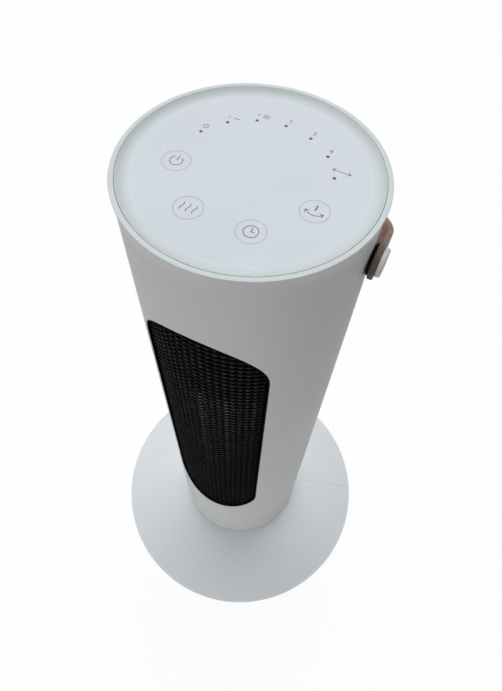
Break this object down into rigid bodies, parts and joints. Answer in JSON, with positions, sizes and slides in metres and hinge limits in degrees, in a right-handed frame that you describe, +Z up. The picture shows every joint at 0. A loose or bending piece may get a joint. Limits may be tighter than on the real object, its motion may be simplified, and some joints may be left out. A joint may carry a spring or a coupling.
{
  "type": "tower fan heater",
  "caption": "Free-standing cylindrical tower fan heater that swings on a round domed base, with a mesh outlet, a dished touch panel on top and a leather strap handle.",
  "frame": {"origin": "on the floor, on the axis that the tower swings about, under the middle of the round base", "axes": "+Z up along the tower; -Y towards the front of the tower, where the outlet is; +X towards the heater's left as it faces the room, which is the right side in the picture"},
  "size_m": [0.315, 0.315, 0.576],
  "materials": {
    "white_plastic": "satin",
    "panel_gloss": "high gloss",
    "black_plastic": "matt",
    "grey_plastic": "matt",
    "nylon": "satin",
    "rubber": "matt",
    "steel": "zinc plated",
    "aluminium": "bare",
    "heat_plastic": "matt",
    "circuit_board": "satin",
    "leather": "soft, with darker cut edges"
  },
  "bodies": {
    "base": {"base_cover_front": "white_plastic", "base_cover_rear": "white_plastic", "base_plate": "grey_plastic", "foot_front_left": "rubber", "foot_front_right": "rubber", "foot_rear_left": "rubber", "foot_rear_right": "rubber", "base_screw_1": "steel", "base_screw_2": "steel", "base_screw_3": "steel", "base_screw_4": "steel", "pedestal": "grey_plastic", "hub_nut": "grey_plastic", "bearing_ring": "nylon", "thrust_washer": "nylon", "swing_gear": "nylon", "tip_switch": "black_plastic", "cord_bushing": "grey_plastic"},
    "tip_plunger": {"tip_plunger": "nylon"},
    "tower": {"chassis_plate": "grey_plastic", "duct_floor": "black_plastic", "duct_roof": "black_plastic", "duct_scroll": "black_plastic", "duct_tongue": "black_plastic", "fan_bearing": "nylon", "fan_motor": "steel", "fin_strip_left": "aluminium", "fin_strip_middle": "aluminium", "fin_strip_right": "aluminium", "front_grille": "black_plastic", "front_shell": "white_plastic", "heater_cap_bottom": "heat_plastic", "heater_cap_top": "heat_plastic", "heater_rail_left": "steel", "heater_rail_right": "steel", "motor_screw_1": "steel", "motor_screw_2": "steel", "power_board": "circuit_board", "ptc_bar_left": "aluminium", "ptc_bar_right": "aluminium", "rear_shell": "white_plastic", "shell_screw_1": "steel", "shell_screw_2": "steel", "shell_screw_3": "steel", "shell_screw_4": "steel", "strap_stud_left": "white_plastic", "strap_stud_right": "white_plastic", "stud_washer_left": "grey_plastic", "stud_washer_right": "grey_plastic", "swing_motor": "steel", "thermal_cutout": "steel", "top_rim": "white_plastic", "touch_board": "circuit_board", "touch_panel": "panel_gloss", "upper_baffle": "black_plastic"},
    "fan": {"fan_wheel": "black_plastic", "fan_shaft": "steel", "fan_pin": "steel"},
    "pinion": {"swing_pinion": "nylon"},
    "handle": {"handle_strap": "leather"}
  },
  "joints": [
    {"name": "swing", "type": "hinge", "parent": "base", "child": "tower", "pos_m": [0, 0, 0.0376], "axis": [0, 0, 1], "range_deg": [-11.5, 58.5]},
    {"name": "tip_plunger_slide", "type": "slide", "parent": "base", "child": "tip_plunger", "axis": [0, 0, 1], "range_m": [-0.003, 0], "stiffness_N_per_m": 200, "springref_m": -0.006},
    {"name": "fan_spin", "type": "hinge", "parent": "tower", "child": "fan", "pos_m": [0, 0.016, 0.2915], "axis": [0, 0, 1], "continuous": true},
    {"name": "pinion_spin", "type": "hinge", "parent": "tower", "child": "pinion", "pos_m": [0, 0.045, 0.0455], "axis": [0, 0, 1], "range_deg": [-50, 240]},
    {"name": "handle_swing", "type": "hinge", "parent": "tower", "child": "handle", "pos_m": [0, 0, 0.5443], "axis": [1, 0, 0], "range_deg": [0, 240]}
  ],
  "couplings": [
    {"joint": "pinion_spin", "follows": "swing", "ratio": 4}
  ]
}
